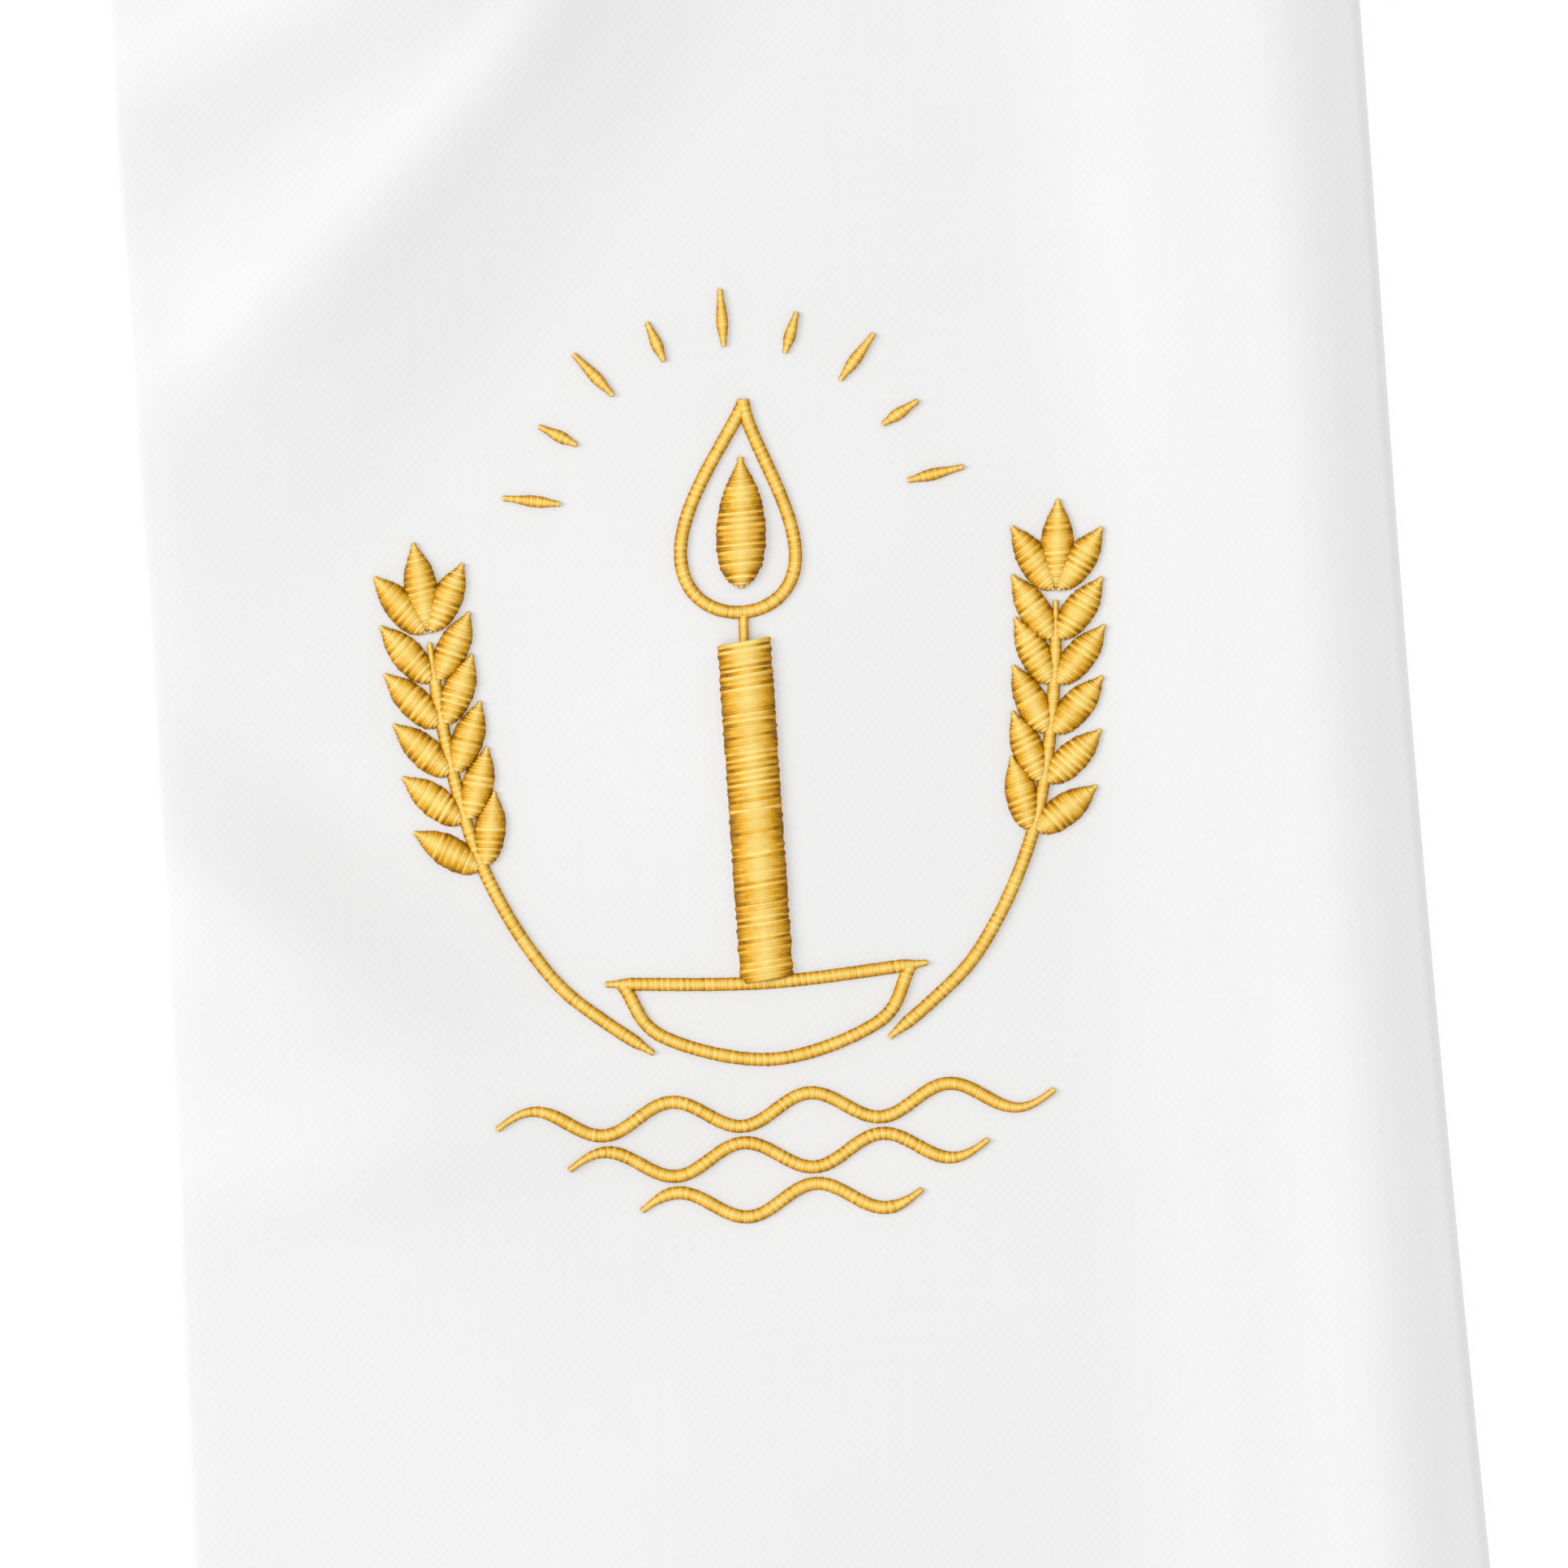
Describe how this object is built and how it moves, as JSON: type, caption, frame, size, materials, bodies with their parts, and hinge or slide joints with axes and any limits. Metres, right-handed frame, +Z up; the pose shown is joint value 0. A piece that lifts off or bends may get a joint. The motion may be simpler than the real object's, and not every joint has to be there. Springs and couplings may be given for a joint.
{
  "type": "baptism stole, laid flat",
  "caption": "White satin baptism stole: long strips joined by a seam at the back of the neck, with gold embroidery on one of them, laid flat.",
  "frame": {"origin": "on the table, under the middle of the stole's outline", "axes": "+Y from the hems to the neck, along the seam at the back of the neck; +X towards the embroidered strip; +Z up from the table"},
  "size_m": [0.3262, 0.7188, 0.0061],
  "materials": {
    "white_satin": "soft satin sheen over a fine weave",
    "gold_thread": "glossy rayon embroidery thread"
  },
  "bodies": {
    "root": {"strip_embroidered": "white_satin", "strip_plain": "white_satin"}
  },
  "joints": []
}
